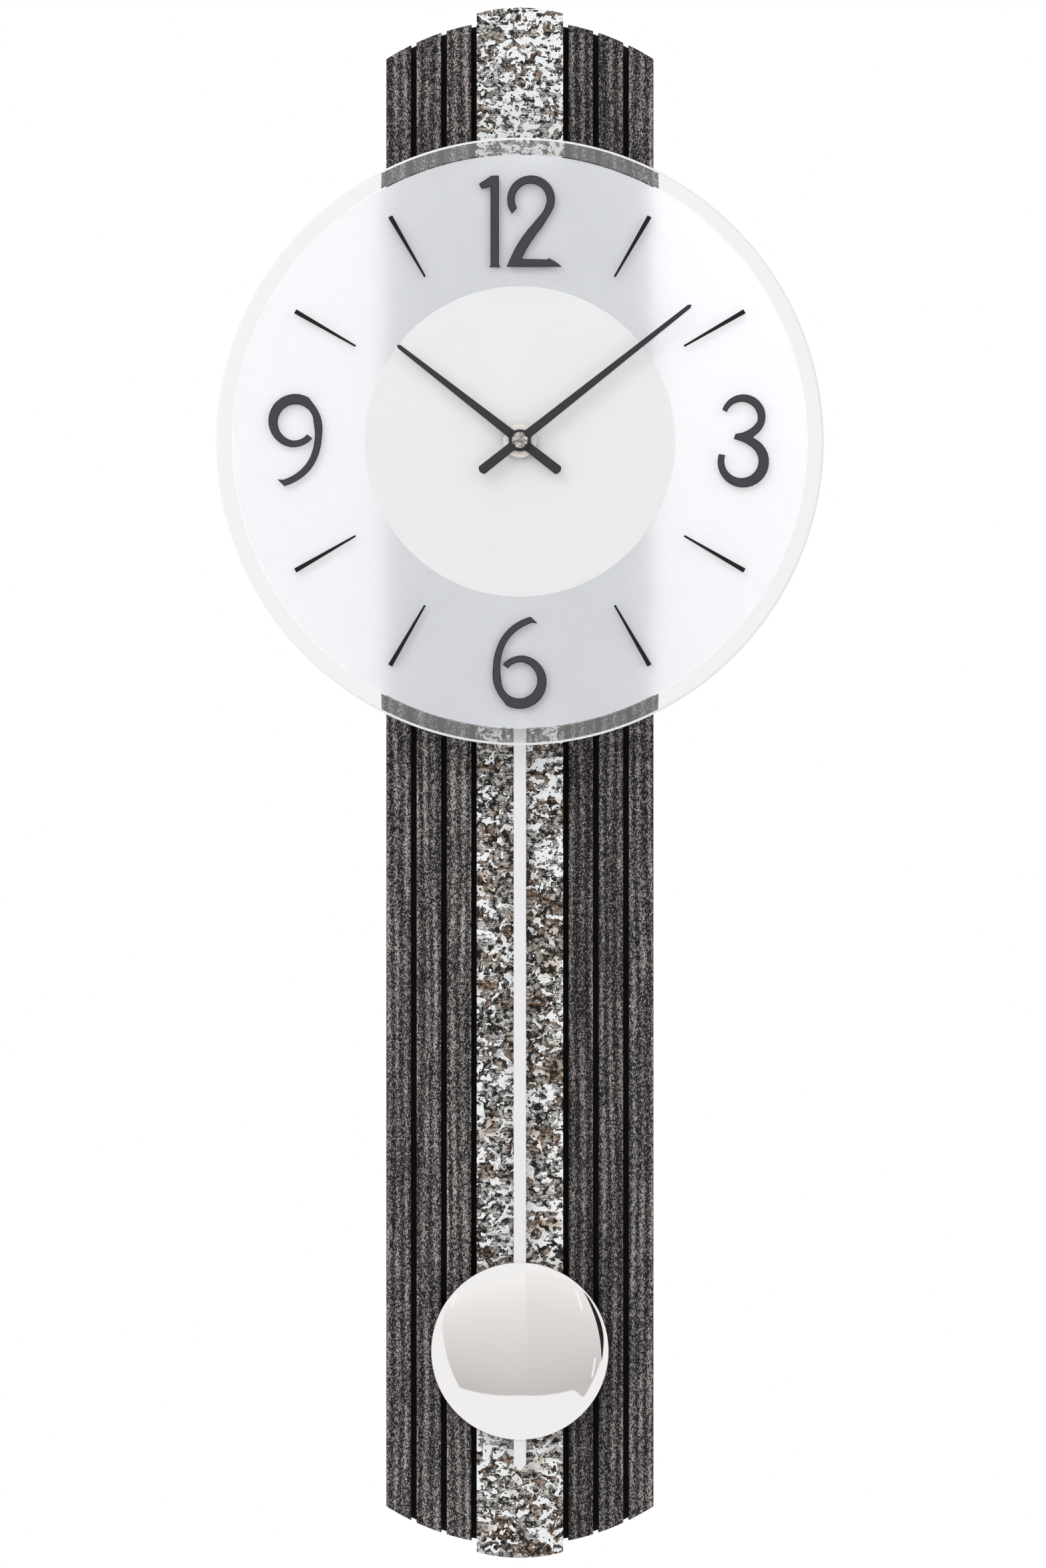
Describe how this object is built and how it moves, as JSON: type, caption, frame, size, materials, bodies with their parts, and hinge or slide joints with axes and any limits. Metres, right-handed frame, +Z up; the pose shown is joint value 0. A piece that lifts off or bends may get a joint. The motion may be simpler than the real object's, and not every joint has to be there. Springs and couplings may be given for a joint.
{
  "type": "pendulum wall clock",
  "caption": "Slatted wall clock with a round bevelled glass dial, stone centre strip, applied numerals, quartz movement and a swinging pendulum with a domed bob.",
  "frame": {"origin": "centre of the hanger plate's round entry hole, in the plane of the wall", "axes": "+X to the viewer's right, +Y into the wall, +Z up"},
  "size_m": [0.2712, 0.0624, 0.7],
  "materials": {
    "slat_veneer": "dark grey brushed veneer with soft wavy figure",
    "board_black": "matt black lacquer",
    "stone_veneer": "thin natural stone, white and grey with dark and rust cells",
    "zinc_steel": "zinc plated",
    "black_felt": "felt",
    "carrier_black": "moulded, fine grain",
    "dial_glass": "clear, with a ground bevel",
    "frosted_print": "frosted silver print with a fine sparkle",
    "centre_print": "opaque off-white print",
    "foam_tape": "black foam tape",
    "nut_champagne": "pale champagne lacquer",
    "marker_anthracite": "anthracite lacquer, satin",
    "hand_anthracite": "anthracite lacquer, satin",
    "cap_silver": "polished",
    "case_black": "moulded, fine grain",
    "plate_grey": "natural moulded",
    "battery_sleeve": "plain printed sleeve",
    "contact_nickel": "nickel plated",
    "circuit_green": "solder mask",
    "crystal_can": "bright can",
    "stator_steel": "soft iron sheet",
    "copper_wire": "enamelled copper wire",
    "gear_white": "moulded acetal",
    "magnet_grey": "nickel plated ferrite",
    "rod_silver": "pale silver lacquer",
    "bob_chrome": "mirror polish"
  },
  "bodies": {
    "case": {"backboard": "board_black", "slat_left_outer": "slat_veneer", "slat_left_middle": "slat_veneer", "slat_left_inner": "slat_veneer", "slat_right_inner": "slat_veneer", "slat_right_middle": "slat_veneer", "slat_right_outer": "slat_veneer", "strip_rail_upper": "board_black", "strip_rail_lower": "board_black", "stone_upper": "stone_veneer", "stone_lower": "stone_veneer", "hanger_plate": "zinc_steel", "hanger_screws": "zinc_steel", "wall_pads": "black_felt", "dial_carrier": "carrier_black", "carrier_screws": "zinc_steel", "dial_glass": "dial_glass", "dial_ring_print": "frosted_print", "dial_centre_print": "centre_print", "glass_pads": "foam_tape", "dial_nut": "nut_champagne", "numeral_12": "marker_anthracite", "numeral_3": "marker_anthracite", "numeral_6": "marker_anthracite", "numeral_9": "marker_anthracite", "hour_batons": "marker_anthracite", "movement_front_case": "case_black", "movement_back_case": "case_black", "gear_plate": "plate_grey", "middle_plate": "plate_grey", "battery": "battery_sleeve", "battery_plus_contact": "contact_nickel", "battery_minus_contact": "contact_nickel", "circuit_board": "circuit_green", "quartz_crystal": "crystal_can", "motor_stator": "stator_steel", "motor_coil": "copper_wire", "lever_pin": "zinc_steel", "drive_coil": "copper_wire"},
    "minute_hand_arbor": {"minute_arbor": "stator_steel", "minute_hand": "hand_anthracite", "hand_cap": "cap_silver"},
    "hour_hand_pipe": {"hour_wheel": "gear_white", "hour_hand": "hand_anthracite"},
    "setting_wheel": {"minute_wheel": "gear_white", "setting_knob": "gear_white"},
    "seconds_gear": {"seconds_wheel": "gear_white"},
    "third_gear": {"third_wheel": "gear_white"},
    "centre_gear": {"centre_wheel": "gear_white"},
    "intermediate_gear": {"intermediate_wheel": "gear_white"},
    "motor_rotor": {"rotor": "gear_white"},
    "swing_lever": {"pendulum_lever": "gear_white", "drive_magnet": "magnet_grey"},
    "rod": {"pendulum_rod": "rod_silver", "rod_hanger": "zinc_steel", "hanger_rivets": "zinc_steel"},
    "bob": {"bob_shell": "bob_chrome", "bob_back_plate": "zinc_steel", "bob_clip": "zinc_steel", "clip_rivets": "zinc_steel"}
  },
  "joints": [
    {"name": "minute_hand_turn", "type": "hinge", "parent": "case", "child": "minute_hand_arbor", "pos_m": [0, -0.05, -0.12], "axis": [0, 1, 0], "continuous": true},
    {"name": "hour_hand_turn", "type": "hinge", "parent": "case", "child": "hour_hand_pipe", "pos_m": [0, -0.05, -0.12], "axis": [0, 1, 0], "continuous": true},
    {"name": "setting_knob_turn", "type": "hinge", "parent": "case", "child": "setting_wheel", "pos_m": [0.012, -0.03, -0.12], "axis": [0, 1, 0], "continuous": true},
    {"name": "seconds_wheel_turn", "type": "hinge", "parent": "case", "child": "seconds_gear", "pos_m": [-0.0062, -0.032, -0.1351], "axis": [0, 1, 0], "continuous": true},
    {"name": "third_wheel_turn", "type": "hinge", "parent": "case", "child": "third_gear", "pos_m": [-0.00935, -0.033, -0.1254], "axis": [0, 1, 0], "continuous": true},
    {"name": "centre_wheel_turn", "type": "hinge", "parent": "case", "child": "centre_gear", "pos_m": [0, -0.035, -0.12], "axis": [0, 1, 0], "continuous": true},
    {"name": "intermediate_wheel_turn", "type": "hinge", "parent": "case", "child": "intermediate_gear", "pos_m": [0.00249, -0.031, -0.13611], "axis": [0, 1, 0], "continuous": true},
    {"name": "rotor_turn", "type": "hinge", "parent": "case", "child": "motor_rotor", "pos_m": [0.00949, -0.033, -0.13981], "axis": [0, 1, 0], "continuous": true},
    {"name": "pendulum_swing", "type": "hinge", "parent": "case", "child": "swing_lever", "pos_m": [0, -0.025, -0.115], "axis": [0, 1, 0], "range_deg": [-4.5, 4.5]},
    {"name": "rod_lift", "type": "slide", "parent": "swing_lever", "child": "rod", "axis": [0, 0, 1], "range_m": [0, 0.005]},
    {"name": "bob_slide", "type": "slide", "parent": "rod", "child": "bob", "axis": [0, 0, 1], "range_m": [-0.01, 0.03]}
  ],
  "couplings": [
    {"joint": "hour_hand_turn", "follows": "minute_hand_turn", "ratio": 0.083333},
    {"joint": "setting_knob_turn", "follows": "minute_hand_turn", "ratio": -0.33333},
    {"joint": "third_wheel_turn", "follows": "seconds_wheel_turn", "ratio": -0.13333},
    {"joint": "centre_wheel_turn", "follows": "seconds_wheel_turn", "ratio": 0.016667},
    {"joint": "intermediate_wheel_turn", "follows": "seconds_wheel_turn", "ratio": -6},
    {"joint": "rotor_turn", "follows": "seconds_wheel_turn", "ratio": 30}
  ]
}
